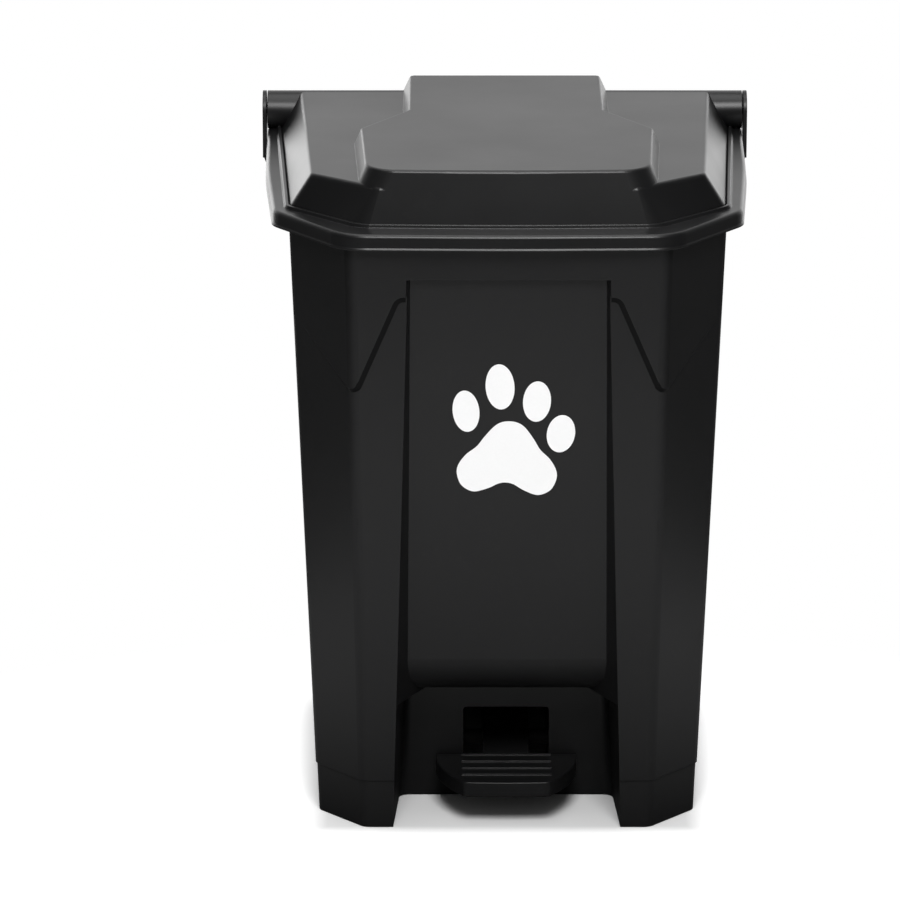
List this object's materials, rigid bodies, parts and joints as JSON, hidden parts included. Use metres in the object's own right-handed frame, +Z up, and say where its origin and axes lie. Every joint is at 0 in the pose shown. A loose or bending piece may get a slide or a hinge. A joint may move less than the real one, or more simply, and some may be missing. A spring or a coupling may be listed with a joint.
{
  "type": "pedal bin",
  "caption": "Step-on pail with a lift-out bucket: pressing the foot plate pushes a rod up the back and swings the raised lid open.",
  "frame": {"origin": "on the floor, in the middle of the closed pail's width and depth", "axes": "+Z up, +X to the right seen from the front, the front with the foot plate faces -Y"},
  "size_m": [0.4332, 0.4203, 0.5821],
  "materials": {
    "body_plastic": "satin moulded polypropylene, near black",
    "lid_plastic": "satin moulded polypropylene, near black",
    "tread_plastic": "ribbed moulded plastic",
    "steel": "zinc plated",
    "wire": "bright drawn wire",
    "bucket_plastic": "fine grained moulded plastic",
    "bearing_plastic": "plain moulded plastic",
    "print": "white print"
  },
  "bodies": {
    "shell": {"outer_body": "body_plastic", "hinge_pin_left": "bearing_plastic", "hinge_pin_right": "bearing_plastic", "pedal_pivot_rod": "steel", "pivot_rod_clips": "steel", "pivot_bushes": "bearing_plastic", "rod_guide": "bearing_plastic", "guide_screws": "steel", "paw_decal": "print"},
    "lid": {"lid": "lid_plastic"},
    "pedal": {"pedal_lever": "steel", "pedal_tread": "tread_plastic", "tread_screws": "steel"},
    "rod": {"push_rod": "wire", "push_rod_clip_lower": "steel", "push_rod_clip_upper": "steel"},
    "bucket": {"inner_bucket": "bucket_plastic", "bail_bush_left": "bearing_plastic", "bail_bush_right": "bearing_plastic"},
    "bail": {"bail_handle": "wire"}
  },
  "joints": [
    {"name": "lid_hinge", "type": "hinge", "parent": "shell", "child": "lid", "pos_m": [0, 0.1927, 0.5515], "axis": [-1, 0, 0], "range_deg": [0, 75]},
    {"name": "pedal_pivot", "type": "hinge", "parent": "shell", "child": "pedal", "pos_m": [0, -0.025, 0.032], "axis": [1, 0, 0], "range_deg": [0, 9.32]},
    {"name": "rod_pivot", "type": "hinge", "parent": "pedal", "child": "rod", "pos_m": [0, 0.16939, 0.01617], "axis": [1, 0, 0], "range_deg": [-9.32, 0]},
    {"name": "bucket_lift", "type": "slide", "parent": "shell", "child": "bucket", "axis": [0, 0, 1], "range_m": [0, 0.035]},
    {"name": "bail_swing", "type": "hinge", "parent": "bucket", "child": "bail", "pos_m": [0, 0.005, 0.455], "axis": [-1, 0, 0], "range_deg": [0, 18]}
  ],
  "couplings": [
    {"joint": "pedal_pivot", "follows": "lid_hinge", "ratio": 0.12413},
    {"joint": "rod_pivot", "follows": "lid_hinge", "ratio": -0.12413}
  ]
}
